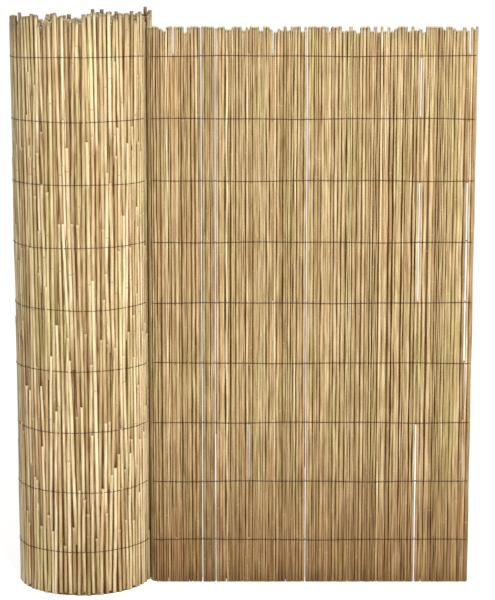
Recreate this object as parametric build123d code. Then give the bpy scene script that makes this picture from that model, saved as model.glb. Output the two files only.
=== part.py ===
# Reed screen, partly unrolled. A mat of dry reeds stands on the cut ends of its
# reeds. Most of its length is wound in a roll at the left, and the free length
# leaves the roll at its right side, bends away from it and runs on as a flat
# fence panel. Rows of thin steel wire bind the reeds, one strand on each face.
#
# Millimetres, +Z up. The origin is at the middle of the footprint, on the ground.

from build123d import *
import math
import os
import random

# The mat. Each reed shows as three flats on its face of the mat, and the face
# that the flat stretch turns forward has the thinner reeds.
reed_length = 1000.0
mat_thickness = 8.4
front_reed_pitch = 6.0
front_ridge_rise = 1.7
back_reed_pitch = 8.4
back_ridge_rise = 2.6

# The thick reeds are shorter than the mat is tall, so each one ends over the
# foot of the next, which is tucked in and comes out to the face as it rises
lowest_reed_ends = (90.0, 520.0)
roll_reed_spacing = (260.0, 600.0)
flat_reed_spacing = (600.0, 900.0)
highest_reed_end = 820.0
tuck_depth = 2.0
tuck_length = 120.0
tuck_width_share = 0.9
roll_reed_seed = 4
flat_reed_seed = 5

# The roll
roll_radius = 125.0
core_radius = 31.0
turn_clearance = 0.6
turn_facet_angle = 18.0
inner_turn_rise = 4.0
outer_turn_rise = 20.0

# The flat stretch, which runs in front of the roll's axis
flat_length = 557.0
flat_set_forward = 35.0
bend_radius = 14.0

# Gaps that go right through: each column's distance from the free edge, with
# its bays between two rows of wire, counted from the ground
gap_width = 2.2
gap_end_to_wire = 4.0
gap_bays = {
    14.0: (4, 5, 6, 9),
    98.0: (0, 1, 2, 5, 6, 8),
    292.0: range(10),
    352.0: (9,),
    397.0: (2,),
    458.0: range(10),
    482.0: range(10),
    528.0: (9,),
}

# Uneven cut ends along the top
flat_notch_share = 0.35
flat_notch_depths = (3.0, 11.0)
roll_notch_reeds = 2
roll_notch_share = 0.5
roll_notch_least = 4.0
cut_end_seed = 7
cutter_overrun = 2.0

# The binding wire
wire_thickness = 1.2
wire_clearance = 0.1
wire_facet_angle = 15.0
wire_row_count = 9
lowest_row_height = 80.0
highest_row_drop = 49.6
crevice_room = 4.0
twist_length = 12.0
twist_thickness = 2.4

# What follows from those sizes
half_mat = mat_thickness / 2
front_valley = half_mat - front_ridge_rise
back_valley = half_mat - back_ridge_rise
turn_pitch = mat_thickness + turn_clearance
turn_count = int((roll_radius - core_radius) / turn_pitch)
inner_turn_height = reed_length + inner_turn_rise
outer_turn_height = reed_length + outer_turn_rise
first_turn_radius = roll_radius - half_mat
flat_y = -flat_set_forward
bend_y = flat_y + bend_radius
bend_x = math.sqrt((first_turn_radius + bend_radius) ** 2 - bend_y**2)
leave_angle = math.degrees(math.atan2(bend_y, bend_x))
free_edge = Vector(bend_x + flat_length, flat_y)
stretch_length = flat_length + math.radians(90 - leave_angle) * bend_radius
front_reed_count = round(stretch_length / front_reed_pitch)
front_step = stretch_length / front_reed_count
back_reed_count = round(stretch_length / back_reed_pitch)
back_step = stretch_length / back_reed_count
turn_reed_count = round(2 * math.pi * first_turn_radius / back_reed_pitch)
turn_step = 360 / turn_reed_count
row_spacing = (reed_length - highest_row_drop - lowest_row_height) / (wire_row_count - 1)
row_heights = [lowest_row_height + row * row_spacing for row in range(wire_row_count)]
wire_near = half_mat + wire_clearance
wire_far = wire_near + wire_thickness
bend_facet = math.radians(wire_facet_angle) * bend_radius


def direction(angle):
    """Unit vector in plan, at an angle in degrees from +X."""
    return Vector(math.cos(math.radians(angle)), math.sin(math.radians(angle)))


def stretch_point(along, offset):
    """Plan point on the flat stretch and its bend, at a distance from the free edge.

    A positive offset is out of the front face, a negative one out of the back.
    """
    if along <= flat_length:
        return free_edge + Vector(-along, -offset)
    turned = math.degrees((along - flat_length) / bend_radius)
    return Vector(bend_x, bend_y) + direction(270 - turned) * (bend_radius + offset)


def turn_point(turned, offset):
    """Plan point on the wound mat, at an angle in degrees past where it leaves the roll.

    Each half turn is an arc half a pitch tighter than the one before, about the
    other of two centres half a pitch apart. A positive offset is outwards.
    """
    half_turns = int(turned // 180)
    centre = direction(leave_angle + 180) * (half_turns % 2 * turn_pitch / 2)
    radius = first_turn_radius - half_turns * turn_pitch / 2
    return centre + direction(leave_angle + turned) * (radius + offset)


def ridge_points(point, length, count, valley, crest):
    """Corners of a run of reeds, each one a flat crest between two slopes."""
    step = length / count
    corners = []
    for reed in range(count):
        corners += [
            point(reed * step, valley),
            point((reed + 1 / 3) * step, crest),
            point((reed + 2 / 3) * step, crest),
        ]
    return [*corners, point(length, valley)]


def facet_points(start, end, offset):
    """Corners of plain turns, from one angle to another."""
    count = round((end - start) / turn_facet_angle)
    return [turn_point(start + step * turn_facet_angle, offset) for step in range(count + 1)]


def prism(corners, height):
    """A solid that stands on the ground, from the corners round its outline."""
    return extrude(make_face(Polyline(*corners, close=True)), amount=height, dir=(0, 0, 1))


def flat_wall():
    """The flat stretch and its bend, with a ridge for each reed on both faces."""
    front = ridge_points(stretch_point, stretch_length, front_reed_count, front_valley, half_mat)
    back = ridge_points(stretch_point, stretch_length, back_reed_count, -back_valley, -half_mat)
    return prism([*front, *reversed(back), free_edge + Vector(front_valley, 0)], reed_length)


def gap_spans():
    """The bottom and top of each length of gap between two rows of wire."""
    stops = [-cutter_overrun - gap_end_to_wire, *row_heights]
    ends = [*row_heights, reed_length + cutter_overrun + gap_end_to_wire]
    return [(low + gap_end_to_wire, high - gap_end_to_wire) for low, high in zip(stops, ends)]


def reed_ends(chance, spacing):
    """Heights at which the reeds of one place end over the feet of the next ones."""
    heights, height = [], chance.uniform(*lowest_reed_ends)
    while height < highest_reed_end:
        heights.append(height)
        height += chance.uniform(*spacing)
    return heights


def tuck_wedge():
    """Wedge that tucks in one reed's foot, square to +Y from the crest of the ridge."""
    tip = tuck_length * (1 + cutter_overrun / tuck_depth)
    profile = Polyline((-tuck_depth, 0), (cutter_overrun, 0), (cutter_overrun, tip), close=True)
    width = back_reed_pitch * tuck_width_share
    return extrude(Plane.YZ * make_face(profile), amount=width / 2, both=True)


def flat_tucks(chance):
    """Wedges that show where the reeds on the back of the flat stretch end."""
    wedges = []
    for reed in range(int(flat_length // back_step)):
        crest = stretch_point((reed + 0.5) * back_step, -half_mat)
        for height in reed_ends(chance, flat_reed_spacing):
            wedges.append(Pos(crest.X, crest.Y, height) * tuck_wedge())
    return wedges


def flat_gaps():
    """Boxes for the gaps, each column in the valley nearest its place."""
    boxes = []
    for distance, bays in gap_bays.items():
        along = round(distance / front_step) * front_step
        for bay, (low, high) in enumerate(gap_spans()):
            if bay in bays:
                size = (gap_width, mat_thickness + 2 * cutter_overrun, high - low)
                boxes.append(Pos(free_edge.X - along, flat_y, (low + high) / 2) * Box(*size))
    return boxes


def cut_end_box(width, depth):
    """Box that shortens reeds by a depth, its length across the mat and its floor at zero."""
    size = (width, mat_thickness + 2 * cutter_overrun, depth + cutter_overrun)
    return Box(*size, align=(Align.CENTER, Align.CENTER, Align.MIN))


def flat_notches(chance):
    """Boxes that shorten some reeds of the flat stretch at the top."""
    boxes = []
    for reed in range(int(flat_length // front_step)):
        if chance.random() < flat_notch_share:
            depth = chance.uniform(*flat_notch_depths)
            middle = stretch_point((reed + 0.5) * front_step, 0)
            place = Pos(middle.X, middle.Y, reed_length - depth)
            boxes.append(place * cut_end_box(front_step, depth))
    return boxes


def flat_stretch():
    """The unrolled reeds as one wall."""
    notches = flat_notches(random.Random(cut_end_seed))
    tucks = flat_tucks(random.Random(flat_reed_seed))
    return flat_wall() - [*flat_gaps(), *notches, *tucks]


def outer_turn():
    """The roll's outer turn, with a ridge for each reed on the outside."""
    outside = ridge_points(turn_point, 360, turn_reed_count, back_valley, half_mat)
    inside = facet_points(0, 360, -half_mat)
    return prism([*outside, *reversed(inside)], outer_turn_height)


def outer_notches(chance):
    """Boxes that shorten some bundles of reeds on the outer turn at the top."""
    boxes = []
    bundle_angle = roll_notch_reeds * turn_step
    width = 2 * (roll_radius - back_ridge_rise) * math.sin(math.radians(bundle_angle / 2))
    for bundle in range(turn_reed_count // roll_notch_reeds):
        if chance.random() < roll_notch_share:
            depth = chance.uniform(roll_notch_least, outer_turn_rise - inner_turn_rise)
            turned = (bundle + 0.5) * bundle_angle
            middle = turn_point(turned, 0)
            place = Pos(middle.X, middle.Y, outer_turn_height - depth)
            facing = Rot(0, 0, leave_angle + turned - 90)
            boxes.append(place * facing * cut_end_box(width, depth))
    return boxes


def outer_tucks(chance):
    """Wedges that show where the reeds on the outside of the roll end."""
    wedges = []
    for reed in range(turn_reed_count):
        turned = (reed + 0.5) * turn_step
        crest = turn_point(turned, half_mat)
        facing = Rot(0, 0, leave_angle + turned - 90)
        for height in reed_ends(chance, roll_reed_spacing):
            wedges.append(Pos(crest.X, crest.Y, height) * facing * tuck_wedge())
    return wedges


def inner_turns():
    """The rest of the roll, plain faceted turns down to the open core."""
    outside = facet_points(360, 360 * turn_count, half_mat)
    inside = facet_points(360, 360 * turn_count, -half_mat)
    return prism([*outside, *reversed(inside)], inner_turn_height)


def rolled_turns():
    """The whole roll as one solid."""
    notches = outer_notches(random.Random(cut_end_seed))
    tucks = outer_tucks(random.Random(roll_reed_seed))
    return (outer_turn() - [*notches, *tucks]) + inner_turns()


def edge_wrap(side, distance):
    """Corners of a strand from beyond the free edge round to one face of the mat."""
    short = distance * math.tan(math.radians(22.5))
    corners = [(distance, 0), (distance, short), (short, distance)]
    return [free_edge + Vector(out, -side * across) for out, across in corners]


def corner_offset(distance, radius):
    """Distance at which the corners of straight lengths clear a convex bend."""
    return distance + radius * (1 / math.cos(math.radians(wire_facet_angle / 2)) - 1)


def crevice_run():
    """How far from where the mat leaves the roll the crevice first has room for wire."""
    curvature = 1 / (bend_radius + half_mat) + 1 / first_turn_radius
    return math.sqrt(2 * crevice_room / curvature)


def front_strand_line(distance):
    """Corners of the front strand, which ends where the crevice closes."""
    room = stretch_length - crevice_run() - flat_length
    corner = corner_offset(distance, bend_radius + distance)
    alongs = [flat_length + (step + 0.5) * bend_facet for step in range(int(room / bend_facet))]
    bend = [stretch_point(along, corner) for along in alongs]
    return [*edge_wrap(1, distance), stretch_point(flat_length, distance), *bend]


def back_strand_line(distance):
    """Corners of the back strand, which goes on in straight lengths round the roll."""
    bend_steps = int((stretch_length - flat_length) / bend_facet)
    alongs = [flat_length + step * bend_facet for step in range(bend_steps + 1)]
    bend = [stretch_point(along, -distance) for along in alongs]
    stop = 360 - math.degrees(crevice_run() / first_turn_radius)
    corner = corner_offset(distance, first_turn_radius + distance)
    turned = [(step + 0.5) * wire_facet_angle for step in range(int(stop / wire_facet_angle))]
    turn = [turn_point(angle, corner) for angle in turned]
    return [*edge_wrap(-1, distance), *bend, turn_point(0, distance), *turn]


def strand(line):
    """One strand of wire along a line, centred on the ground plane."""
    corners = [*line(wire_near), *reversed(line(wire_far))]
    return Pos(0, 0, -wire_thickness / 2) * prism(corners, wire_thickness)


def wire_twist():
    """The strands' twisted ends, tucked behind the free edge above the back strand."""
    out = wire_near + twist_thickness / 2
    up = (wire_thickness + twist_thickness) / 2 + wire_clearance
    from_edge = (Align.MAX, Align.CENTER, Align.CENTER)
    twist = Box(twist_length, twist_thickness, twist_thickness, align=from_edge)
    return Pos(free_edge.X, flat_y + out, up) * twist


def screen_parts():
    """Every piece by its name, about the roll's axis."""
    parts = {"rolled_turns": rolled_turns(), "flat_stretch": flat_stretch()}
    front_strand = strand(front_strand_line)
    back_strand = strand(back_strand_line)
    for row, height in enumerate(row_heights, start=1):
        parts[f"front_wire_{row}"] = Pos(0, 0, height) * front_strand
        parts[f"back_wire_{row}"] = Pos(0, 0, height) * back_strand
    twist = wire_twist()
    parts["wire_twists"] = Compound([Pos(0, 0, height) * twist for height in row_heights])
    return parts


parts = screen_parts()
middle = Compound(list(parts.values())).bounding_box().center()
to_footprint_middle = Pos(-middle.X, -middle.Y, 0)
os.makedirs("parts", exist_ok=True)
for name, part in parts.items():
    export_step(to_footprint_middle * part, f"parts/{name}.step")
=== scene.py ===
# A reed screen, partly unrolled: every dry reed of its mat, in the roll and in
# the flat stretch, and the thin steel wires that bind them.

import math
import random
from collections import namedtuple

import bpy
from mathutils import Matrix, Vector


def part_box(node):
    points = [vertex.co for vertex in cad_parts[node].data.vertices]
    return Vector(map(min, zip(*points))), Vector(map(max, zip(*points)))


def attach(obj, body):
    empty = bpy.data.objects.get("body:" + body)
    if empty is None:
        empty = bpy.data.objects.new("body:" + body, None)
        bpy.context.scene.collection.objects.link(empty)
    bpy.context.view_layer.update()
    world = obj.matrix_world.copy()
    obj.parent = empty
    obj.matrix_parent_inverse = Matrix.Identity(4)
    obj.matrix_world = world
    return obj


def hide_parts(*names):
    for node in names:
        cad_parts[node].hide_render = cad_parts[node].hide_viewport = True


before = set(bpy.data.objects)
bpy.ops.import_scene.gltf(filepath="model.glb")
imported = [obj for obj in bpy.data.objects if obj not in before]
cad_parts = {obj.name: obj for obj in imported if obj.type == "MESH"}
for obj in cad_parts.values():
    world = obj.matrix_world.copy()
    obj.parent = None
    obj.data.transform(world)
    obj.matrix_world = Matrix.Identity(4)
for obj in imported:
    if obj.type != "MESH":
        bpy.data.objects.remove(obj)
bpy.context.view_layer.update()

# The mat, in metres. Its outer face is outside on the roll and at the back of
# the flat stretch, and has the thicker reeds.
REED_LENGTH = 1.0
HALF_MAT = 0.0042
OUTER_REED_PITCH = 0.0084
INNER_REED_PITCH = 0.0060

# The roll
ROLL_RADIUS = 0.125
CORE_RADIUS = 0.031
TURN_PITCH = 0.009
TURN_COUNT = int((ROLL_RADIUS - CORE_RADIUS) / TURN_PITCH)
FIRST_TURN_RADIUS = ROLL_RADIUS - HALF_MAT
OUTER_TURN_TOP = REED_LENGTH + 0.020
INNER_TURN_TOP = REED_LENGTH + 0.004

# The flat stretch and the bend where it leaves the roll
FLAT_LENGTH = 0.557
FLAT_SET_FORWARD = 0.035
BEND_RADIUS = 0.014
FREE_EDGE_REED = 0.0025

# Gaps that go right through, as distance from the free edge and the bays
# between wire rows that stay open, counted from the ground
GAP_WIDTH = 0.0022
WHOLE_HEIGHT = range(10)
GAP_BAYS = {
    0.014: (4, 5, 6, 9),
    0.098: (0, 1, 2, 5, 6, 8),
    0.292: WHOLE_HEIGHT,
    0.352: (9,),
    0.397: (2,),
    0.458: WHOLE_HEIGHT,
    0.482: WHOLE_HEIGHT,
    0.528: (9,),
}

# Where the thick reeds end, as on the solids: each one over the foot of the next
LOWEST_REED_ENDS = (0.090, 0.520)
ROLL_REED_SPACING = (0.260, 0.600)
FLAT_REED_SPACING = (0.600, 0.900)
HIGHEST_REED_END = 0.820
ROLL_REED_SEED = 4
FLAT_REED_SEED = 5

# Uneven cut ends along the top, as on the solids
CUT_END_SEED = 7
FLAT_NOTCH_SHARE = 0.35
FLAT_NOTCH_DEPTHS = (0.003, 0.011)
ROLL_NOTCH_REEDS = 2
ROLL_NOTCH_SHARE = 0.5
ROLL_NOTCH_DEPTHS = (0.004, 0.016)

# The binding wire: its rows, how far its ends stay from the crevice, how far it
# sinks and dips between reeds and wanders up and down, how slim the strands behind
# and the twists are against the front ones, and the size and place of the twists
WIRE_RADIUS = 0.0006
ROW_COUNT = 9
LOWEST_ROW = 0.080
HIGHEST_ROW_DROP = 0.0496
ROW_SPACING = (REED_LENGTH - HIGHEST_ROW_DROP - LOWEST_ROW) / (ROW_COUNT - 1)
ROW_HEIGHTS = [LOWEST_ROW + row * ROW_SPACING for row in range(ROW_COUNT)]
CREVICE_RUN = 0.0113
MOST_SINK = 0.0012
FRONT_DIP = 0.0007
BACK_DIP = 0.0014
SLIM_STRAND = 0.8
WANDERS = ((0.0007, 17), (0.0004, 41))
FRONT_PHASE_STEP = 1.7
BACK_PHASE_STEP = 2.3
TWIST_LENGTH = 0.012
TWIST_OUT = 0.0013
TWIST_LIFT = 0.0019
TWIST_STEPS = 8

# How a reed tapers to its head and sways on the way up
TAPER = 0.08
SWAY_RATE = 34.0

# The thick reeds: how many stand on the ground, how far the others start above it,
# how far a foot reaches below the head before it, and how depths, heads and leans vary
GROUNDED_SHARE = 0.65
LIFTED_FEET = (0.001, 0.007)
FOOT_OVERLAPS = (0.012, 0.045)
THICK_DEPTHS = (0.86, 1.0)
TUCK_SHARES = (0.75, 1.15)
HEAD_STRAY = (-0.0005, 0.0004)
STEEP_SHARE = 0.1
STEEP_TIMES = 2.5
MOST_LEAN = 0.007
OUTER_TONE_STRAY = 0.06
BACK_REED_DEPTH = 0.0047
BACK_TOP_DROP = 0.001
ROLL_DEPTH_SHARE = 0.92

# The thin reeds: widths and depths as shares of their place, how far they lie back
# from the face, and how many are slim and pale
THIN_WIDTHS = (0.95, 1.16)
THIN_DEPTH = 0.45
THIN_DEPTHS = (0.88, 1.0)
THIN_SET_BACK = 0.0006
INNER_TONE_STRAY = 0.05
PALE_SHARE = 0.05
PALE_WIDTH = 0.82
PALE_TONE = 0.84

# The flat stretch's front: its edge reed, how many places hold two reeds and where,
# and how far reeds stray from their place, sway and end below the cut
EDGE_REED_HALF = 0.0024
PAIR_SHARE = 0.5
PAIR_PLACES = (-0.25, 0.25)
FRONT_STRAY = 0.0004
FREE_SWAY = 0.0004
GAP_SIDE_SWAY = 0.0002
MOST_SHORT = 0.0015
LEAST_FREE_WIDTH = 0.99

# The short reeds that close a gap column between its open bays
FILLER_OVERLAP = 0.004
FILLER_TOP_DROP = 0.004
FILLER_HALF_SHARE = 0.62
FILLER_OUTS = (-0.0016, -0.0006)
FILLER_SWAY = 0.0001

# The outer turn: ends added in long reeds, strays of its reeds, and its uneven top
LONG_REED = 0.16
ADDED_END_SHARE = 0.75
ADDED_END_PLACES = (0.25, 0.75)
TURN_STRAY = 0.06
ROLL_TOP_LIFT = 0.003
ROLL_TOP_TILT = 0.004
ROLL_TOP_STRAY = 0.002
TALL_SHARE = 0.07
TALL_BY = 0.004
LINING_DROPS = (0.003, 0.009)
LINING_SWAY = 0.0003

# The turns below the outer one
THICK_HALF = 0.0036
THIN_HALF = 0.0026
INNER_TURN_SIZES = (0.85, 1.0)
INNER_TURN_STRAY = 0.001
INNER_TOP_STRAY = 0.0035

# The joints: half their height, where along a reed they lie, and how much they swell
JOINT_HALF_HEIGHT = 0.0020
FIRST_JOINTS = (0.03, 0.35)
JOINT_SPACING = (0.16, 0.34)
JOINT_BELOW_HEAD = 0.015
JOINT_SWELLING = 1.05

# Where the mat lies, read from the solid frame
flat_low, flat_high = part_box("flat_stretch")
FREE_EDGE_X = flat_high.x - FREE_EDGE_REED
FLAT_Y = flat_low.y + HALF_MAT
BEND_OFFSET_Y = BEND_RADIUS - FLAT_SET_FORWARD
BEND_OFFSET_X = math.sqrt((FIRST_TURN_RADIUS + BEND_RADIUS) ** 2 - BEND_OFFSET_Y**2)
BEND_CENTRE = Vector((FREE_EDGE_X - FLAT_LENGTH, FLAT_Y + BEND_RADIUS))
ROLL_CENTRE = BEND_CENTRE - Vector((BEND_OFFSET_X, BEND_OFFSET_Y))
LEAVE_ANGLE = math.atan2(BEND_OFFSET_Y, BEND_OFFSET_X)
STRETCH_LENGTH = FLAT_LENGTH + (math.pi / 2 - LEAVE_ANGLE) * BEND_RADIUS
INNER_REED_COUNT = round(STRETCH_LENGTH / INNER_REED_PITCH)
INNER_STEP = STRETCH_LENGTH / INNER_REED_COUNT
OUTER_REED_COUNT = round(STRETCH_LENGTH / OUTER_REED_PITCH)
OUTER_STEP = STRETCH_LENGTH / OUTER_REED_COUNT
TURN_REED_COUNT = round(math.tau * FIRST_TURN_RADIUS / OUTER_REED_PITCH)
TURN_STEP = math.tau / TURN_REED_COUNT

chance = random.Random(21)

# One place across the mat: a point in plan on its middle line, the way its
# outer face looks, the way along the mat towards the core, and the run so far.
Place = namedtuple("Place", "point outward onward run")

# One reed as it stands: its foot, the rise to its head, half its width and
# depth, the way it looks, how it bows and sways, and what its colour follows.
Reed = namedtuple("Reed", "foot rise half_width half_depth facing bow sway phase tone hue tuck")

# The reeds that stand one above the other at a place.
Column = namedtuple("Column", "place reeds")


# The mat's line in plan

def spoke(angle):
    """Unit vector in plan at an angle from +X."""
    return Vector((math.cos(angle), math.sin(angle)))


def stretch_place(run):
    """The place at a distance from the free edge, on the flat stretch or its bend."""
    if run <= FLAT_LENGTH:
        return Place(Vector((FREE_EDGE_X - run, FLAT_Y)), Vector((0, 1)), Vector((-1, 0)), run)
    outward = spoke(math.pi / 2 - (run - FLAT_LENGTH) / BEND_RADIUS)
    onward = Vector((-outward.y, outward.x))
    return Place(BEND_CENTRE - outward * BEND_RADIUS, outward, onward, run)


def turn_place(turned):
    """The place at an angle past where the mat leaves the roll.

    Each half turn is an arc half a pitch tighter than the one before, about the
    other of two centres half a pitch apart.
    """
    half_turns = int(turned // math.pi)
    outward = spoke(LEAVE_ANGLE + turned)
    centre = ROLL_CENTRE - spoke(LEAVE_ANGLE) * (half_turns % 2 * TURN_PITCH / 2)
    radius = FIRST_TURN_RADIUS - half_turns * TURN_PITCH / 2
    onward = Vector((-outward.y, outward.x))
    return Place(centre + outward * radius, outward, onward, STRETCH_LENGTH + turned * FIRST_TURN_RADIUS)


# Reeds

def make_reed(place, low, high, half_width, half_depth, outs, side=0,
              facing=1, tone=0.5, sway=0.0003, tuck=0):
    """A reed between two heights. Outs are how far its foot and head stand from the
    mat's middle line towards the outer face, side is how far its head leans along
    the mat, and facing is 1 where it shows on the outer face and -1 on the inner."""
    shift = -place.onward * side / 2
    foot = place.point + shift + place.outward * outs[0]
    rise = place.onward * side + place.outward * (outs[1] - outs[0])
    bow = place.onward * chance.gauss(0, sway * 2) * (high - low)
    swing = place.onward * chance.gauss(0, sway) + place.outward * chance.gauss(0, sway / 2)
    return Reed(
        foot.to_3d() + Vector((0, 0, low)), rise.to_3d() + Vector((0, 0, high - low)), half_width, half_depth,
        (place.outward * facing).to_3d(), bow.to_3d(), swing.to_3d(), chance.uniform(0, math.tau),
        min(1, max(0, tone)), chance.random(), tuck)


def axis_point(reed, share):
    """A point on a reed's axis, bowed and swaying, at a share of its length."""
    arch = math.sin(math.pi * share)
    swing = math.sin(share * reed.rise.length * SWAY_RATE + reed.phase)
    return reed.foot + reed.rise * share + reed.bow * arch + reed.sway * swing


def reed_ends(ends_chance, spacing):
    """Heights at which the reeds of one place end over the feet of the next ones."""
    heights, height = [], ends_chance.uniform(*LOWEST_REED_ENDS)
    while height < HIGHEST_REED_END:
        heights.append(height)
        height += ends_chance.uniform(*spacing)
    return heights


def more_ends(heights, share):
    """The same ends, with one more here and there in the longest lengths."""
    stops = [0, *heights, REED_LENGTH]
    ends = list(heights)
    for low, high in zip(stops, stops[1:]):
        if high - low > LONG_REED and chance.random() < share:
            ends.append(low + (high - low) * chance.uniform(*ADDED_END_PLACES))
    return sorted(ends)


def thick_column(place, width, depth, ends, top, look):
    """The thick reeds of one place. Each one's head stands out over the foot of the next."""
    reeds, low = [], 0 if chance.random() < GROUNDED_SHARE else chance.uniform(*LIFTED_FEET)
    for end in [*ends, top]:
        start = low if not reeds else low - chance.uniform(*FOOT_OVERLAPS)
        half_depth = depth / 2 * chance.uniform(*THICK_DEPTHS)
        half_width = width / 2 * chance.uniform(look.narrowest, look.widest)
        tuck = chance.uniform(*TUCK_SHARES) * look.tuck if reeds else 0
        head_out = HALF_MAT - half_depth + chance.uniform(*HEAD_STRAY)
        lean = look.lean * (STEEP_TIMES if chance.random() < STEEP_SHARE else 1)
        side = min(MOST_LEAN, max(-MOST_LEAN, math.tan(chance.gauss(0, lean)) * (end - start)))
        tone = chance.choice(look.tones) + chance.uniform(-OUTER_TONE_STRAY, OUTER_TONE_STRAY)
        reeds.append(make_reed(place, start, end, half_width, half_depth, (head_out - tuck, head_out),
                               side, 1, tone, look.sway, 1 if tuck else 0))
        low = end
    return Column(place, reeds)


def thin_reed(place, width, top, sway):
    """A thin reed of the inner face, as tall as the mat. One in twenty is slim and pale."""
    pale = chance.random() < PALE_SHARE
    half_width = width / 2 * (PALE_WIDTH if pale else chance.uniform(*THIN_WIDTHS))
    half_depth = width * THIN_DEPTH * chance.uniform(*THIN_DEPTHS)
    out = half_depth - HALF_MAT + chance.uniform(0, THIN_SET_BACK)
    tone = PALE_TONE
    if not pale:
        tone = chance.choice(INNER_TONES) + chance.uniform(-INNER_TONE_STRAY, INNER_TONE_STRAY)
    return make_reed(place, 0, top, half_width, half_depth, (out, out), 0, -1, tone, sway)


# How a face's thick reeds look: how slim and how wide they get, how deep their
# feet are tucked in, how they lean and sway, and their tones from brown to cream.
Look = namedtuple("Look", "narrowest widest tuck lean sway tones")
ROLL_LOOK = Look(narrowest=0.78, widest=1.0, tuck=0.0019, lean=math.radians(0.8), sway=0.0005,
                 tones=(0.45, 0.62, 0.70, 0.76, 0.80, 0.84, 0.89, 0.95))
BACK_LOOK = Look(narrowest=1.10, widest=1.16, tuck=0.0016, lean=math.radians(0.05), sway=0.0001,
                 tones=(0.35, 0.48, 0.56, 0.64, 0.70, 0.78))
INNER_TONES = (0.36, 0.42, 0.46, 0.50, 0.54, 0.58, 0.62, 0.68)


def notch_depths(count, share, depths):
    """How far each of a row of cut ends is shortened, the same as on the solids."""
    ends_chance = random.Random(CUT_END_SEED)
    return [ends_chance.uniform(*depths) if ends_chance.random() < share else 0 for _ in range(count)]


FLAT_NOTCHES = notch_depths(int(FLAT_LENGTH // INNER_STEP), FLAT_NOTCH_SHARE, FLAT_NOTCH_DEPTHS)
ROLL_NOTCHES = notch_depths(TURN_REED_COUNT // ROLL_NOTCH_REEDS, ROLL_NOTCH_SHARE, ROLL_NOTCH_DEPTHS)


def flat_top(run):
    """How high the reeds of the flat stretch stand at a distance from the free edge."""
    number = int(run // INNER_STEP)
    depth = FLAT_NOTCHES[number] if 0 <= number < len(FLAT_NOTCHES) else 0
    return REED_LENGTH - depth


def roll_top(turned):
    """How high the reeds of the outer turn stand, a little higher at the roll's right."""
    number = min(int(turned / TURN_STEP) // ROLL_NOTCH_REEDS, len(ROLL_NOTCHES) - 1)
    rightward = math.cos(LEAVE_ANGLE + turned)
    return OUTER_TURN_TOP - ROLL_NOTCHES[number] + ROLL_TOP_LIFT + ROLL_TOP_TILT * rightward


def gap_runs():
    """Distances of the gap columns from the free edge, each in a valley between thin reeds."""
    return [round(distance / INNER_STEP) * INNER_STEP for distance in GAP_BAYS]


def clear_of_gaps(start, end):
    """Middle and width of a reed's place, cut short where a gap lies beside it."""
    for gap in gap_runs():
        near, far = gap - GAP_WIDTH / 2, gap + GAP_WIDTH / 2
        if near < end and far > start:
            if near - start > end - far:
                end = near
            else:
                start = far
    return (start + end) / 2, end - start


def flat_front_columns():
    """The thin reeds on the front of the flat stretch, some of them two to a place."""
    edge = stretch_place(0)
    edge_reed = make_reed(edge, 0, REED_LENGTH, EDGE_REED_HALF, EDGE_REED_HALF, (0, 0), facing=-1)
    columns = [Column(edge, [edge_reed])]
    for number in range(INNER_REED_COUNT):
        run, width = clear_of_gaps(number * INNER_STEP, (number + 1) * INNER_STEP)
        free = width > INNER_STEP * LEAST_FREE_WIDTH
        sway = FREE_SWAY if free else GAP_SIDE_SWAY
        shares = PAIR_PLACES if free and chance.random() < PAIR_SHARE else (0,)
        reeds = []
        for share in shares:
            stray = chance.uniform(-FRONT_STRAY, FRONT_STRAY) if free else 0
            top = flat_top(run) - chance.uniform(0, MOST_SHORT)
            place = stretch_place(run + share * width + stray)
            reeds.append(thin_reed(place, width / len(shares), top, sway))
        columns.append(Column(stretch_place(run), reeds))
    return columns


def flat_back_columns():
    """The thick reeds on the back of the flat stretch."""
    columns, ends_chance = [], random.Random(FLAT_REED_SEED)
    for number in range(OUTER_REED_COUNT):
        run, width = clear_of_gaps(number * OUTER_STEP, (number + 1) * OUTER_STEP)
        on_flat = (number + 1) * OUTER_STEP <= FLAT_LENGTH
        ends = reed_ends(ends_chance, FLAT_REED_SPACING) if on_flat else []
        place = stretch_place(run)
        width *= 1 if on_flat else 1 - HALF_MAT / BEND_RADIUS / 2
        top = min(flat_top(run - INNER_STEP / 2), flat_top(run + INNER_STEP / 2)) - BACK_TOP_DROP
        columns.append(thick_column(place, width, BACK_REED_DEPTH, ends, top, BACK_LOOK))
    return columns


def gap_filler_reeds():
    """Short thin reeds that close a column of gaps in the bays where none is open."""
    bounds = [0, *ROW_HEIGHTS, REED_LENGTH - FILLER_TOP_DROP]
    half = GAP_WIDTH * FILLER_HALF_SHARE
    reeds = []
    for run, open_bays in zip(gap_runs(), GAP_BAYS.values()):
        place = stretch_place(run)
        for bay in set(WHOLE_HEIGHT) - set(open_bays):
            low = bounds[bay] - (FILLER_OVERLAP if bay else 0)
            high = bounds[bay + 1] + (FILLER_OVERLAP if bay < ROW_COUNT else 0)
            out = chance.uniform(*FILLER_OUTS)
            tone = chance.choice(INNER_TONES)
            reeds.append(make_reed(place, low, high, half, half, (out, out), 0, -1, tone, FILLER_SWAY))
    return reeds


def roll_outer_columns():
    """The thick reeds that show all round the roll."""
    columns, ends_chance = [], random.Random(ROLL_REED_SEED)
    for number in range(TURN_REED_COUNT):
        turned = (number + 0.5) * TURN_STEP + chance.uniform(-TURN_STRAY, TURN_STRAY) * TURN_STEP
        ends = more_ends(reed_ends(ends_chance, ROLL_REED_SPACING), ADDED_END_SHARE)
        top = roll_top(turned) + chance.gauss(0, ROLL_TOP_STRAY)
        top += TALL_BY if chance.random() < TALL_SHARE else 0
        width = OUTER_REED_PITCH
        depth = width * ROLL_DEPTH_SHARE
        columns.append(thick_column(turn_place(turned), width, depth, ends, top, ROLL_LOOK))
    return columns


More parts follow.
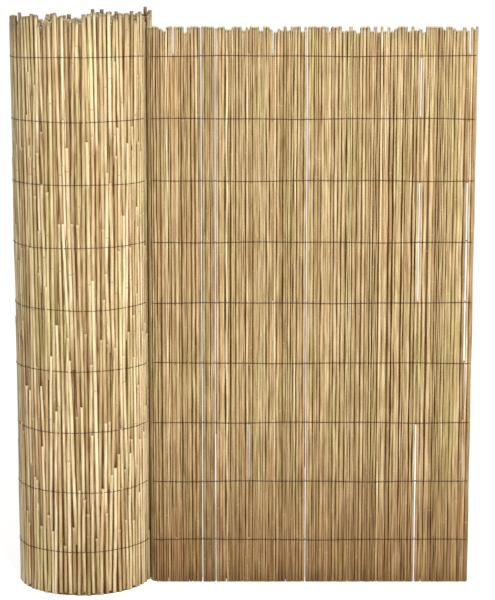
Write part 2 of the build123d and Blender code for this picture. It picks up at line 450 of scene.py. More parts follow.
def roll_lining_reeds():
    """The thin reeds under the thick ones, on the inner face of the outer turn."""
    reeds, radius = [], FIRST_TURN_RADIUS - HALF_MAT / 2
    count = round(math.tau * radius / INNER_REED_PITCH)
    for number in range(count):
        turned = math.tau * (number + 0.5) / count
        top = roll_top(turned) - chance.uniform(*LINING_DROPS)
        reeds.append(thin_reed(turn_place(turned), INNER_REED_PITCH, top, LINING_SWAY))
    return reeds


def inner_turn_reeds():
    """Both layers of reeds in the turns below the outer one."""
    reeds, turned = [], math.tau
    while turned < math.tau * TURN_COUNT:
        radius = FIRST_TURN_RADIUS - turned / math.tau * TURN_PITCH
        for facing, half in ((1, THICK_HALF), (-1, THIN_HALF)):
            half *= chance.uniform(*INNER_TURN_SIZES)
            stray = chance.uniform(-INNER_TURN_STRAY, INNER_TURN_STRAY) / radius
            place = turn_place(max(math.tau, turned + stray))
            out = facing * (HALF_MAT - half)
            top = INNER_TURN_TOP + chance.gauss(0, INNER_TOP_STRAY)
            tone = chance.choice(ROLL_LOOK.tones if facing > 0 else INNER_TONES)
            reeds.append(make_reed(place, 0, top, half, half, (out, out), 0, facing, tone, 0))
        turned += (OUTER_REED_PITCH + INNER_REED_PITCH) / 2 / radius
    return reeds


def joint_reeds(reeds):
    """A short swollen length for each joint of the reeds, where their axes pass."""
    joints = []
    for reed in reeds:
        length = reed.rise.length
        height = chance.uniform(*FIRST_JOINTS)
        while height < length - JOINT_BELOW_HEAD:
            share = height / length
            middle = axis_point(reed, share)
            slim = (1 - TAPER * share) * JOINT_SWELLING
            rise = reed.rise.normalized() * JOINT_HALF_HEIGHT * 2
            joints.append(reed._replace(
                foot=middle - rise / 2, rise=rise, half_width=reed.half_width * slim,
                half_depth=reed.half_depth * slim, bow=Vector((0, 0, 0)), sway=Vector((0, 0, 0))))
            height += chance.uniform(*JOINT_SPACING)
    return joints


def all_reeds(columns):
    """Every reed of some columns, in one list."""
    return [reed for column in columns for reed in column.reeds]


# Meshes of what is placed

def stations_mesh(name, reeds):
    """One vertex at each reed's foot, with what the maker needs to know of the reed."""
    mesh = bpy.data.meshes.new(name)
    mesh.from_pydata([reed.foot for reed in reeds], [], [])
    for key in ("half_width", "half_depth", "phase", "tone", "hue", "tuck"):
        values = [getattr(reed, key) for reed in reeds]
        mesh.attributes.new(key, "FLOAT", "POINT").data.foreach_set("value", values)
    lengths = [reed.rise.length for reed in reeds]
    mesh.attributes.new("reed_length", "FLOAT", "POINT").data.foreach_set("value", lengths)
    directions = {"turn": [], "bow": [], "sway": []}
    for reed in reeds:
        upward = reed.rise.normalized()
        across = reed.facing.cross(upward).normalized()
        turn = Matrix((across, upward.cross(across), upward)).transposed()
        directions["turn"].extend(turn.to_euler("XYZ"))
        directions["bow"].extend(reed.bow)
        directions["sway"].extend(reed.sway)
    for key, values in directions.items():
        mesh.attributes.new(key, "FLOAT_VECTOR", "POINT").data.foreach_set("vector", values)
    return mesh


def strands_mesh(name, strands):
    """A line of vertices for each strand of wire."""
    points, edges = [], []
    for strand in strands:
        first = len(points)
        points += strand
        edges += [(first + step, first + step + 1) for step in range(len(strand) - 1)]
    mesh = bpy.data.meshes.new(name)
    mesh.from_pydata(points, edges, [])
    return mesh


# Node trees

def add_node(tree, kind, values=None, **settings):
    """A node with its settings, and its inputs from values or from other nodes' sockets."""
    node = tree.nodes.new(kind)
    for name, setting in settings.items():
        setattr(node, name, setting)
    for name, value in (values or {}).items():
        if isinstance(value, bpy.types.NodeSocket):
            tree.links.new(value, node.inputs[name])
        else:
            node.inputs[name].default_value = value
    return node


def sums(tree, operation, first, second=0.0):
    """The socket of one sum of two numbers."""
    return add_node(tree, "ShaderNodeMath", {0: first, 1: second}, operation=operation).outputs[0]


def vectors(tree, operation, first, second):
    """The socket of one sum of two vectors, or of a vector and a number for SCALE."""
    key = "Scale" if operation == "SCALE" else 1
    return add_node(tree, "ShaderNodeVectorMath", {0: first, key: second}, operation=operation).outputs[0]


def new_maker(name, inputs):
    """An empty geometry tree with named inputs; returns it with its input and output nodes."""
    tree = bpy.data.node_groups.new(name, "GeometryNodeTree")
    face = tree.interface
    face.new_socket("Geometry", in_out="INPUT", socket_type="NodeSocketGeometry")
    for label, kind, value in inputs:
        socket = face.new_socket(label, in_out="INPUT", socket_type=kind)
        if value is not None:
            socket.default_value = value
    face.new_socket("Geometry", in_out="OUTPUT", socket_type="NodeSocketGeometry")
    return tree, tree.nodes.new("NodeGroupInput"), tree.nodes.new("NodeGroupOutput")


def stored(tree, name, kind="FLOAT"):
    """The socket of a stored attribute."""
    node = add_node(tree, "GeometryNodeInputNamedAttribute", {"Name": name}, data_type=kind)
    return node.outputs["Attribute"]


def store(tree, geometry, name, value, domain="POINT", selection=True):
    """The geometry with one number stored on it."""
    values = {"Geometry": geometry, "Selection": selection, "Name": name, "Value": value}
    node = add_node(tree, "GeometryNodeStoreNamedAttribute", values, data_type="FLOAT", domain=domain)
    return node.outputs[0]


def hollow_reed(tree, inputs):
    """A reed of unit size, thinner at the top, with a hollow in both cut ends."""
    sizes = {"Vertices": inputs["Sides"], "Side Segments": inputs["Rings"], "Radius": 1.0, "Depth": 1.0}
    stalk = add_node(tree, "GeometryNodeMeshCylinder", sizes, fill_type="NGON")
    raised = add_node(tree, "GeometryNodeTransform",
                      {"Geometry": stalk.outputs["Mesh"], "Translation": (0, 0, 0.5)})
    position = add_node(tree, "GeometryNodeInputPosition").outputs[0]
    parts = add_node(tree, "ShaderNodeSeparateXYZ", {0: position}).outputs
    whole = store(tree, raised.outputs[0], "along", parts["Z"])
    whole = store(tree, whole, "crest", parts["Y"])
    slim = sums(tree, "SUBTRACT", 1.0, sums(tree, "MULTIPLY", parts["Z"], inputs["Taper"]))
    scale = add_node(tree, "ShaderNodeCombineXYZ", {"X": slim, "Y": slim, "Z": 1.0}).outputs[0]
    tapered = add_node(tree, "GeometryNodeSetPosition",
                       {"Geometry": whole, "Position": vectors(tree, "MULTIPLY", position, scale)})
    ends = add_node(tree, "FunctionNodeBooleanMath", {0: stalk.outputs["Top"], 1: stalk.outputs["Bottom"]},
                    operation="OR").outputs[0]
    dome = sums(tree, "MULTIPLY", sums(tree, "GREATER_THAN", parts["Z"], 0.5), inputs["Dome"])
    rim = add_node(tree, "GeometryNodeExtrudeMesh",
                   {"Mesh": tapered.outputs[0], "Selection": ends, "Offset Scale": dome, "Individual": False})
    bored = add_node(tree, "GeometryNodeScaleElements",
                     {"Geometry": rim.outputs["Mesh"], "Selection": rim.outputs["Top"],
                      "Scale": inputs["Bore"]})
    hole = add_node(tree, "GeometryNodeExtrudeMesh",
                    {"Mesh": bored.outputs[0], "Selection": rim.outputs["Top"],
                     "Offset Scale": inputs["Bore Depth"], "Individual": False})
    inside = add_node(tree, "FunctionNodeBooleanMath", {0: hole.outputs["Side"], 1: hole.outputs["Top"]},
                      operation="OR").outputs[0]
    cut = store(tree, hole.outputs["Mesh"], "cut_end", 1.0, "FACE", rim.outputs["Side"])
    return store(tree, cut, "bore", 1.0, "FACE", inside)


def swollen_joint(tree, inputs):
    """The swelling at a joint of unit size, widest in the middle and open at both ends."""
    sizes = {"Vertices": inputs["Sides"], "Side Segments": 2, "Radius": 1.0, "Depth": 1.0}
    ring = add_node(tree, "GeometryNodeMeshCylinder", sizes, fill_type="NONE")
    position = add_node(tree, "GeometryNodeInputPosition").outputs[0]
    parts = add_node(tree, "ShaderNodeSeparateXYZ", {0: position}).outputs
    whole = store(tree, ring.outputs["Mesh"], "crest", parts["Y"])
    from_middle = sums(tree, "ABSOLUTE", parts["Z"])
    whole = store(tree, whole, "joint", sums(tree, "SUBTRACT", 1.0, sums(tree, "MULTIPLY", from_middle, 2.0)))
    slim = sums(tree, "SUBTRACT", 1.0, sums(tree, "MULTIPLY", from_middle, 0.18))
    scale = add_node(tree, "ShaderNodeCombineXYZ", {"X": slim, "Y": slim, "Z": 1.0}).outputs[0]
    shaped = add_node(tree, "GeometryNodeSetPosition",
                      {"Geometry": whole, "Position": vectors(tree, "MULTIPLY", position, scale),
                       "Offset": (0, 0, 0.5)})
    return shaped.outputs[0]


def stand_on_stations(tree, inputs, unit):
    """The unit form stood on every station, at its size and turn."""
    keys = {"X": "half_width", "Y": "half_depth", "Z": "reed_length"}
    size = {axis: stored(tree, key) for axis, key in keys.items()}
    scale = add_node(tree, "ShaderNodeCombineXYZ", size).outputs[0]
    angles = stored(tree, "turn", "FLOAT_VECTOR")
    turn = add_node(tree, "FunctionNodeEulerToRotation", {"Euler": angles}).outputs[0]
    stood = add_node(tree, "GeometryNodeInstanceOnPoints",
                     {"Points": inputs["Geometry"], "Instance": unit, "Rotation": turn, "Scale": scale})
    return add_node(tree, "GeometryNodeRealizeInstances", {"Geometry": stood.outputs[0]}).outputs[0]


def finish_maker(tree, geometry, inputs, outlet):
    """Ends a tree with the material."""
    dressed = add_node(tree, "GeometryNodeSetMaterial",
                       {"Geometry": geometry, "Material": inputs["Material"]})
    tree.links.new(dressed.outputs[0], outlet.inputs[0])
    return tree


def reed_maker():
    """The tree that stands a reed on each station and bends it."""
    tree, inlet, outlet = new_maker("Reeds on their stations", [
        ("Sides", "NodeSocketInt", 8),
        ("Rings", "NodeSocketInt", 8),
        ("Taper", "NodeSocketFloat", TAPER),
        ("Dome", "NodeSocketFloat", 0.0025),
        ("Bore", "NodeSocketFloat", 0.5),
        ("Bore Depth", "NodeSocketFloat", -0.008),
        ("Sway Rate", "NodeSocketFloat", SWAY_RATE),
        ("Material", "NodeSocketMaterial", None),
    ])
    inputs = inlet.outputs
    real = stand_on_stations(tree, inputs, hollow_reed(tree, inputs))
    along = stored(tree, "along")
    arch = sums(tree, "SINE", sums(tree, "MULTIPLY", along, math.pi))
    bow = vectors(tree, "SCALE", stored(tree, "bow", "FLOAT_VECTOR"), arch)
    metres = sums(tree, "MULTIPLY", along, stored(tree, "reed_length"))
    angle = sums(tree, "ADD", sums(tree, "MULTIPLY", metres, inputs["Sway Rate"]), stored(tree, "phase"))
    sway = vectors(tree, "SCALE", stored(tree, "sway", "FLOAT_VECTOR"), sums(tree, "SINE", angle))
    bent = add_node(tree, "GeometryNodeSetPosition",
                    {"Geometry": real, "Offset": vectors(tree, "ADD", bow, sway)})
    ends = sums(tree, "ADD", stored(tree, "cut_end"), stored(tree, "bore"))
    smooth = add_node(tree, "GeometryNodeSetShadeSmooth",
                      {"Geometry": bent.outputs[0], "Selection": sums(tree, "LESS_THAN", ends, 0.5),
                       "Shade Smooth": True}, domain="FACE")
    flat = add_node(tree, "GeometryNodeSetShadeSmooth",
                    {"Geometry": smooth.outputs[0], "Selection": sums(tree, "GREATER_THAN", ends, 0.5),
                     "Shade Smooth": False}, domain="FACE")
    return finish_maker(tree, flat.outputs[0], inputs, outlet)


def joint_maker():
    """The tree that puts a swelling on each joint's station."""
    tree, inlet, outlet = new_maker("Joints on their stations", [
        ("Sides", "NodeSocketInt", 8),
        ("Material", "NodeSocketMaterial", None),
    ])
    inputs = inlet.outputs
    real = stand_on_stations(tree, inputs, swollen_joint(tree, inputs))
    smooth = add_node(tree, "GeometryNodeSetShadeSmooth", {"Geometry": real, "Shade Smooth": True})
    return finish_maker(tree, smooth.outputs[0], inputs, outlet)


def wire_maker():
    """The tree that runs round wire along each line of points."""
    tree, inlet, outlet = new_maker("Wire along its line", [
        ("Sides", "NodeSocketInt", 6),
        ("Radius", "NodeSocketFloat", WIRE_RADIUS),
        ("Material", "NodeSocketMaterial", None),
    ])
    inputs = inlet.outputs
    line = add_node(tree, "GeometryNodeMeshToCurve", {"Mesh": inputs["Geometry"]})
    soft = add_node(tree, "GeometryNodeCurveSplineType", {"Curve": line.outputs[0]},
                    spline_type="CATMULL_ROM")
    fine = add_node(tree, "GeometryNodeSetSplineResolution", {"Geometry": soft.outputs[0], "Resolution": 2})
    ring = add_node(tree, "GeometryNodeCurvePrimitiveCircle",
                    {"Resolution": inputs["Sides"], "Radius": inputs["Radius"]})
    drawn = add_node(tree, "GeometryNodeCurveToMesh",
                     {"Curve": fine.outputs[0], "Profile Curve": ring.outputs[0], "Fill Caps": True})
    smooth = add_node(tree, "GeometryNodeSetShadeSmooth",
                      {"Geometry": drawn.outputs[0], "Shade Smooth": True})
    real = add_node(tree, "GeometryNodeRealizeInstances", {"Geometry": smooth.outputs[0]})
    return finish_maker(tree, real.outputs[0], inputs, outlet)


def make_piece(name, base, tree, values):
    """A plain mesh object that a geometry tree makes from a base mesh."""
    holder = bpy.data.objects.new(name + "_base", base)
    bpy.context.scene.collection.objects.link(holder)
    maker = holder.modifiers.new("Maker", "NODES")
    maker.node_group = tree
    for item in tree.interface.items_tree:
        if item.in_out == "INPUT" and item.name in values:
            maker[item.identifier] = values[item.name]
    depsgraph = bpy.context.evaluated_depsgraph_get()
    mesh = bpy.data.meshes.new_from_object(holder.evaluated_get(depsgraph), depsgraph=depsgraph)
    mesh.name = name
    bpy.data.objects.remove(holder)
    piece = bpy.data.objects.new(name, mesh)
    bpy.context.scene.collection.objects.link(piece)
    return piece


# Wires

def crest_out(column, height, side):
    """How far out the reeds of a column reach at a height, on the outer face for
    side 1 and on the inner face for side -1."""
    reach = 0.0
    for reed in column.reeds:
        share = (height - reed.foot.z) / reed.rise.z
        if 0 <= share <= 1:
            point = axis_point(reed, share)
            out = (point.xy - column.place.point).dot(column.place.outward) * side
            reach = max(reach, out + reed.half_depth * (1 - TAPER * share))
    return reach


def wander(run, phase):
    """How far a wire strays up or down, smoothly along its run."""
    (slow, slow_rate), (quick, quick_rate) = WANDERS
    return slow * math.sin(run * slow_rate + phase) + quick * math.sin(run * quick_rate + 2 * phase)


def wire_over(columns, height, side, dip, phase):
    """Points of a strand that lies over each reed's crest and dips between them."""
    crests = [crest_out(column, height, side) for column in columns]
    points = []
    for number, column in enumerate(columns):
        place = column.place
        beside = [*crests[max(0, number - 1):number], *crests[number + 1:number + 2]]
        crest = max(crests[number], min(beside) - MOST_SINK)
        if points:
            before = columns[number - 1].place
            low = min(crest, last) - dip
            outward = (place.outward + before.outward) / 2 * side
            middle = (place.point + before.point) / 2 + outward * (low + WIRE_RADIUS)
            points.append((*middle, height + wander((place.run + before.run) / 2, phase)))
        top = place.point + place.outward * side * (crest + WIRE_RADIUS)
        points.append((*top, height + wander(place.run, phase)))
        last = crest
    return points


def edge_twist(height, turns=3):
    """The two strands' ends, twisted round each other behind the free edge."""
    strands, reach = [], WIRE_RADIUS * 1.05
    middle_y = FLAT_Y + HALF_MAT + TWIST_OUT
    steps = turns * TWIST_STEPS
    for start in (0, math.pi):
        strand = []
        for step in range(steps + 1):
            angle = start + math.tau * turns * step / steps
            x = FREE_EDGE_X - TWIST_LENGTH * step / steps
            z = height + TWIST_LIFT + reach * math.sin(angle)
            strand.append((x, middle_y + reach * math.cos(angle), z))
        strands.append(strand)
    return strands


# Materials

def linear(red, green, blue):
    """A colour given as it looks on a screen, from 0 to 255, as the shader needs it."""
    return tuple((value / 255) ** 2.2 for value in (red, green, blue)) + (1.0,)


def new_material(name):
    """An empty node material; returns it, its tree and its shader."""
    material = bpy.data.materials.new(name)
    material.use_nodes = True
    shader = material.node_tree.nodes["Principled BSDF"]
    return material, material.node_tree, shader


def new_effect(name, inputs, outputs):
    """An empty shader group with named inputs and outputs."""
    tree = bpy.data.node_groups.new(name, "ShaderNodeTree")
    for label, value in inputs:
        tree.interface.new_socket(label, in_out="INPUT", socket_type="NodeSocketFloat").default_value = value
    for label, kind in outputs:
        tree.interface.new_socket(label, in_out="OUTPUT", socket_type=kind)
    return tree, tree.nodes.new("NodeGroupInput"), tree.nodes.new("NodeGroupOutput")


def attribute(tree, name):
    """The value of a mesh attribute in a material."""
    node = tree.nodes.new("ShaderNodeAttribute")
    node.attribute_name = name
    return node.outputs["Fac"]


def blend(tree, share, first, second, mode="MIX"):
    """The socket of two colours mixed."""
    mix = add_node(tree, "ShaderNodeMix", data_type="RGBA", blend_type=mode)
    for socket, value in zip((mix.inputs[0], mix.inputs[6], mix.inputs[7]), (share, first, second)):
        if isinstance(value, bpy.types.NodeSocket):
            tree.links.new(value, socket)
        else:
            socket.default_value = value
    return mix.outputs[2]


def step_mask(tree, value, low, high):
    """A smooth mask that goes from 0 at low to 1 at high."""
    return add_node(tree, "ShaderNodeMapRange", {"Value": value, "From Min": low, "From Max": high},
                    interpolation_type="SMOOTHSTEP").outputs[0]


def colour_ramp(tree, value, stops):
    """The colour that a value has among stops, given as they look on a screen."""
    ramp = add_node(tree, "ShaderNodeValToRGB", {"Fac": value})
    elements = ramp.color_ramp.elements
    while len(elements) < len(stops):
        elements.new(0.5)
    for element, (at, colour) in zip(elements, stops):
        element.position = at
        element.color = linear(*colour)
    return ramp.outputs[0]


# How many waves of mottling and of patches there are in a metre, across and up
MOTTLE_SCALE = (190.0, 190.0, 20.0)
PATCH_SCALE = (34.0, 34.0, 7.0)

# Colours of dry reed from dark to light, tints that vary them, the colours of its
# markings, of painted shade in crevices, on tucked-in feet and in hollow ends, of a
# painted highlight near the heads and of a darkening towards the ground, all as they
# look on a screen
REED_TONES = ((0.0, (100, 72, 38)), (0.2, (142, 114, 68)), (0.4, (172, 146, 102)),
              (0.6, (196, 172, 128)), (0.8, (220, 199, 157)), (1.0, (240, 226, 192)))
REED_TINTS = ((0.38, (243, 249, 220)), (0.50, (255, 255, 248)), (0.64, (255, 254, 250)),
              (0.74, (255, 248, 242)), (0.84, (246, 230, 208)))
STREAK_COLOUR = (168, 130, 74)
CREVICE_SHADE_COLOUR = (146, 110, 34)
TUCKED_FOOT_SHADE_COLOUR = (170, 126, 80)
JOINT_COLOUR = (128, 98, 54)
GROUND_DARKENING_COLOUR = (190, 164, 126)
HEAD_HIGHLIGHT_COLOUR = (246, 232, 200)
WEATHERED_COLOUR = (122, 106, 78)
CUT_END_COLOUR = (200, 178, 138)
BORE_SHADE_COLOUR = (104, 80, 50)


def fibres_effect():
    """Fine fibres that run up each reed, changes along it, and patches across many reeds."""
    names = ("Fibres", "Mottle", "Patches")
    tree, inlet, outlet = new_effect(
        "Reed fibres", [("Fineness", 1100.0), ("Stretch", 0.02), ("Seed", 0.0)],
        [(name, "NodeSocketFloat") for name in names])
    inputs = inlet.outputs
    place = add_node(tree, "ShaderNodeTexCoord").outputs["Object"]
    height = sums(tree, "MULTIPLY", inputs["Seed"], 7.0)
    lift = add_node(tree, "ShaderNodeCombineXYZ", {"Z": height}).outputs[0]
    moved = vectors(tree, "ADD", place, lift)
    stretch = add_node(tree, "ShaderNodeCombineXYZ", {"X": 1.0, "Y": 1.0, "Z": inputs["Stretch"]}).outputs[0]
    long = vectors(tree, "MULTIPLY", moved, stretch)
    slow = vectors(tree, "MULTIPLY", moved, MOTTLE_SCALE)
    wide = vectors(tree, "MULTIPLY", place, PATCH_SCALE)
    settings = ((long, inputs["Fineness"], 3.0), (slow, 1.0, 3.0), (wide, 1.0, 2.0))
    for name, (vector, scale, detail) in zip(names, settings):
        noise = add_node(tree, "ShaderNodeTexNoise", {"Vector": vector, "Scale": scale, "Detail": detail})
        tree.links.new(noise.outputs[0], outlet.inputs[name])
    return tree


def reed_material(name, fibres, fineness, shade, crevice_shade, dashed_shade, ground_darkness):
    """Dry reed, each one in its own tone and hue, with painted shade on the sides of each reed and in the
    crevices between reeds, on tucked-in feet and in the hollow ends, a painted highlight near the heads, and
    darker towards the ground.
    """
    material, tree, shader = new_material(name)
    hue = attribute(tree, "hue")
    fibre = add_node(tree, "ShaderNodeGroup", {}, node_tree=fibres)
    tree.links.new(hue, fibre.inputs["Seed"])
    fibre.inputs["Fineness"].default_value = fineness
    drift = sums(tree, "MULTIPLY", sums(tree, "SUBTRACT", fibre.outputs["Mottle"], 0.5), 0.9)
    tone = sums(tree, "ADD", attribute(tree, "tone"), drift)
    base = colour_ramp(tree, tone, REED_TONES)
    patched = sums(tree, "MULTIPLY", fibre.outputs["Patches"], 0.85)
    shifted = sums(tree, "ADD", sums(tree, "MULTIPLY", hue, 0.3), patched)
    tinted = blend(tree, 1.0, base, colour_ramp(tree, shifted, REED_TINTS), "MULTIPLY")
    streaks = sums(tree, "MULTIPLY", step_mask(tree, fibre.outputs["Fibres"], 0.44, 0.66), 0.5)
    streaked = blend(tree, streaks, tinted, linear(*STREAK_COLOUR), "MULTIPLY")
    # Painted shade: darker on the sides of each reed, away from its crest, and so in the crevices between
    # reeds; on the inner face also in broken dashes.
    low = sums(tree, "SUBTRACT", 1.0, step_mask(tree, attribute(tree, "crest"), 0.12, 1.0))
    shade_dashes = sums(tree, "SUBTRACT", 1.0, step_mask(tree, fibre.outputs["Mottle"], 0.42, 0.60))
    painted_shade = sums(tree, "MULTIPLY", low, sums(tree, "ADD", sums(tree, "MULTIPLY", shade_dashes, dashed_shade), crevice_shade))
    shaded_in_crevices = blend(tree, painted_shade, streaked, linear(*CREVICE_SHADE_COLOUR), "MULTIPLY")
    # Painted shade on the foot of a reed that is tucked in under the head of the reed below.
    foot = sums(tree, "SUBTRACT", 1.0, step_mask(tree, attribute(tree, "along"), 0.02, 0.26))
    tucked_shade = sums(tree, "MULTIPLY", sums(tree, "MULTIPLY", foot, attribute(tree, "tuck")), 0.6)
    foot_shaded = blend(tree, tucked_shade, shaded_in_crevices, linear(*TUCKED_FOOT_SHADE_COLOUR), "MULTIPLY")
    jointed = sums(tree, "MULTIPLY", attribute(tree, "joint"), 0.12)
    ringed = blend(tree, jointed, foot_shaded, linear(*JOINT_COLOUR))
    place = add_node(tree, "ShaderNodeTexCoord").outputs["Object"]
    height = add_node(tree, "ShaderNodeSeparateXYZ", {0: place}).outputs["Z"]
    # Darker towards the ground, more on the inner face than on the outer.
    ground_darkening = sums(tree, "MULTIPLY", sums(tree, "SUBTRACT", 1.0, step_mask(tree, height, 0.0, 0.35)), ground_darkness)
    ground_darkened = blend(tree, ground_darkening, ringed, linear(*GROUND_DARKENING_COLOUR), "MULTIPLY")
    # A painted highlight makes the last few millimetres below each reed's head paler.
    to_head = sums(tree, "MULTIPLY", sums(tree, "SUBTRACT", 1.0, attribute(tree, "along")),
                   attribute(tree, "reed_length"))
    head = sums(tree, "SUBTRACT", 1.0, step_mask(tree, to_head, 0.001, 0.007))
    head_highlighted = blend(tree, sums(tree, "MULTIPLY", head, 0.25), ground_darkened, linear(*HEAD_HIGHLIGHT_COLOUR))
    weathered = sums(tree, "MULTIPLY", sums(tree, "ADD", head, 0.25), step_mask(tree, height, 0.965, 1.0))
    tipped = blend(tree, sums(tree, "MULTIPLY", weathered, 0.6), head_highlighted, linear(*WEATHERED_COLOUR))
    ended = blend(tree, attribute(tree, "cut_end"), tipped, linear(*CUT_END_COLOUR))
    # Painted shade: the hollow in each cut end is dark brown.
    bored = blend(tree, attribute(tree, "bore"), ended, linear(*BORE_SHADE_COLOUR))
    shaded = blend(tree, 1.0, bored, shade, "MULTIPLY")
    tree.links.new(shaded, shader.inputs["Base Color"])
    rough = add_node(tree, "ShaderNodeMapRange",
                     {"Value": fibre.outputs["Fibres"], "To Min": 0.40, "To Max": 0.66})
    tree.links.new(rough.outputs[0], shader.inputs["Roughness"])
    bump = add_node(tree, "ShaderNodeBump",
                    {"Height": fibre.outputs["Fibres"], "Strength": 0.3, "Distance": 0.0003})
    tree.links.new(bump.outputs[0], shader.inputs["Normal"])
    return material


def wire_material():
    """Dark annealed steel wire with a little rust."""
    material, tree, shader = new_material("Binding wire")
    place = add_node(tree, "ShaderNodeTexCoord").outputs["Object"]
    rust = add_node(tree, "ShaderNodeTexNoise", {"Vector": place, "Scale": 260.0, "Detail": 4.0})
    colour = blend(tree, step_mask(tree, rust.outputs[0], 0.42, 0.62), linear(48, 34, 16), linear(78, 50, 22))
    tree.links.new(colour, shader.inputs["Base Color"])
    rough = add_node(tree, "ShaderNodeMapRange", {"Value": rust.outputs[0], "To Min": 0.40, "To Max": 0.75})
    tree.links.new(rough.outputs[0], shader.inputs["Roughness"])
    shader.inputs["Metallic"].default_value = 0.3
    return material


# Building the screen

def dress(piece, slot, *nodes):
    """Puts a finished piece on the one body, for the solids that it stands for."""
    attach(piece, "root")
    if nodes:
        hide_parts(*nodes)


def make_reeds(front, back, around):
    """Every reed of the screen, and the joints of those that show."""
    reeds, joints, fibres = reed_maker(), joint_maker(), fibres_effect()
    outer = reed_material(
        "Dry reed of the outer face", fibres, fineness=1100, shade=linear(255, 255, 250),
        crevice_shade=1.0, dashed_shade=0.0, ground_darkness=0.2)
    inner = reed_material(
        "Dry reed of the inner face", fibres, fineness=460, shade=linear(250, 248, 246),
        crevice_shade=0.15, dashed_shade=0.6, ground_darkness=0.8)
    lining, turns = roll_lining_reeds(), inner_turn_reeds()
    facing_front = all_reeds(front) + gap_filler_reeds()
    pieces = [
        ("roll_outer_reeds", all_reeds(around), outer, 8, 8, "reed_outer", ["rolled_turns"]),
        ("roll_lining_reeds", lining, inner, 6, 1, "reed_inner", []),
        ("roll_inner_turns", turns, inner, 6, 1, "reed_inner", []),
        ("flat_front_reeds", facing_front, inner, 8, 24, "reed_inner", ["flat_stretch"]),
        ("flat_back_reeds", all_reeds(back), outer, 8, 8, "reed_outer", []),
    ]
    for name, members, material, sides, rings, slot, nodes in pieces:
        values = {"Sides": sides, "Rings": rings, "Material": material}
        dress(make_piece(name, stations_mesh(name + "_stations", members), reeds, values), slot, *nodes)
    for name, columns, material, slot in (
            ("roll_outer_joints", around, outer, "reed_outer"),
            ("flat_front_joints", front, inner, "reed_inner"),
            ("flat_back_joints", back, outer, "reed_outer")):
        base = stations_mesh(name + "_stations", joint_reeds(all_reeds(columns)))
        dress(make_piece(name, base, joints, {"Material": material}), slot)


def make_wires(front, back, around):
    """The front and back strands of every row, and their twisted ends."""
    maker, material = wire_maker(), wire_material()
    last_front = STRETCH_LENGTH - CREVICE_RUN
    last_back = STRETCH_LENGTH + math.tau * FIRST_TURN_RADIUS - CREVICE_RUN
    front_columns = [column for column in front if column.place.run < last_front]
    back_columns = [column for column in back + around if column.place.run < last_back]
    front_strands, back_strands, twists = [], [], []
    for row, height in enumerate(ROW_HEIGHTS):
        front_strands.append(wire_over(front_columns, height, -1, FRONT_DIP, row * FRONT_PHASE_STEP))
        back_strands.append(wire_over(back_columns, height, 1, BACK_DIP, row * BACK_PHASE_STEP))
        twists += edge_twist(height)
    rows = range(1, ROW_COUNT + 1)
    pieces = [
        ("front_wires", front_strands, 1, [f"front_wire_{row}" for row in rows]),
        ("back_wires", back_strands, SLIM_STRAND, [f"back_wire_{row}" for row in rows]),
        ("wire_edge_twists", twists, SLIM_STRAND, ["wire_twists"]),
    ]
    for name, strands, share, nodes in pieces:
        base = strands_mesh(name + "_lines", strands)
        values = {"Material": material, "Radius": WIRE_RADIUS * share}
        dress(make_piece(name, base, maker, values), "binding_wire", *nodes)


# Light and camera

# The camera as fitted to the photograph's outline: how far it stands to the right
# of the roll's centre and in front of it, its height, downward tilt in degrees and lens
CAMERA_RIGHT = 0.292
CAMERA_FRONT = 3.29
CAMERA_HEIGHT = 1.076
CAMERA_TILT = 9.69
CAMERA_LENS = 111.5


def make_camera():
    """The camera, at the viewing angle and distance of the photograph."""
    data = bpy.data.cameras.new("View")
    data.sensor_width = 36.0
    data.lens = CAMERA_LENS
    camera = bpy.data.objects.new("View", data)
    camera.location = (ROLL_CENTRE.x + CAMERA_RIGHT, ROLL_CENTRE.y - CAMERA_FRONT, CAMERA_HEIGHT)
    camera.rotation_euler = (math.radians(90 - CAMERA_TILT), 0, 0)
    bpy.context.scene.collection.objects.link(camera)
    bpy.context.scene.camera = camera


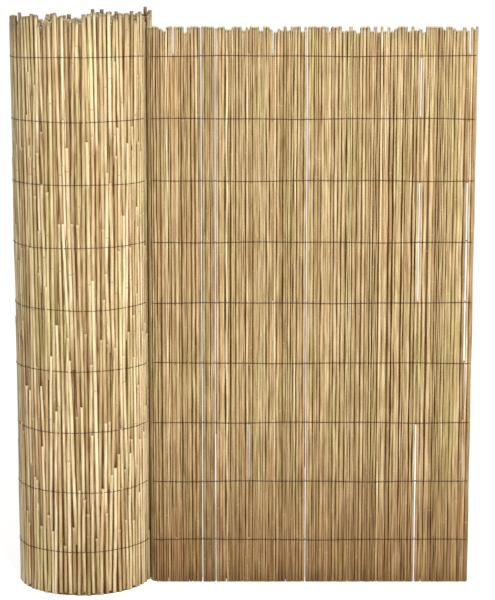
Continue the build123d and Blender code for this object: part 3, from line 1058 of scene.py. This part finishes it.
def make_area_light(name, place, target, size, power):
    """A soft square light that looks at a point."""
    data = bpy.data.lights.new(name, "AREA")
    data.size = size
    data.energy = power
    light = bpy.data.objects.new(name, data)
    light.location = place
    light.rotation_euler = (Vector(place) - Vector(target)).to_track_quat("Z", "Y").to_euler()
    bpy.context.scene.collection.objects.link(light)


def make_surround():
    """A surround that looks white and lights more softly than it looks."""
    world = bpy.data.worlds.new("Pale surround")
    world.use_nodes = True
    tree = world.node_tree
    background = tree.nodes["Background"]
    background.inputs["Color"].default_value = (1, 1, 1, 1)
    seen = add_node(tree, "ShaderNodeLightPath").outputs["Is Camera Ray"]
    strength = add_node(tree, "ShaderNodeMapRange", {"Value": seen, "To Min": 0.40, "To Max": 1.05})
    tree.links.new(strength.outputs[0], background.inputs["Strength"])
    bpy.context.scene.world = world


def make_floor():
    """A plain pale floor that keeps the white of the photograph round the screen's foot."""
    mesh, reach = bpy.data.meshes.new("Floor"), 60
    corners = [(-reach, -reach, 0), (reach, -reach, 0), (reach, reach, 0), (-reach, reach, 0)]
    mesh.from_pydata(corners, [], [(0, 1, 2, 3)])
    floor = bpy.data.objects.new("Floor", mesh)
    bpy.context.scene.collection.objects.link(floor)
    material, tree, shader = new_material("Pale floor")
    shader.inputs["Base Color"].default_value = (0.9, 0.9, 0.9, 1)
    shader.inputs["Roughness"].default_value = 0.9
    shader.inputs["Emission Color"].default_value = (1, 1, 1, 1)
    seen = add_node(tree, "ShaderNodeLightPath").outputs["Is Camera Ray"]
    strength = add_node(tree, "ShaderNodeMapRange", {"Value": seen, "To Min": 0.35, "To Max": 0.66})
    tree.links.new(strength.outputs[0], shader.inputs["Emission Strength"])
    mesh.materials.append(material)


def make_studio():
    """The floor, the surround and soft light from the front right."""
    bpy.context.scene.view_settings.view_transform = "Standard"
    make_surround()
    make_floor()
    make_area_light("Key", place=(0.95, -2.85, 2.1), target=(0, 0, 0.5), size=1.0, power=98)


flat_front, flat_back, roll_around = flat_front_columns(), flat_back_columns(), roll_outer_columns()
make_reeds(flat_front, flat_back, roll_around)
make_wires(flat_front, flat_back, roll_around)
make_studio()
make_camera()
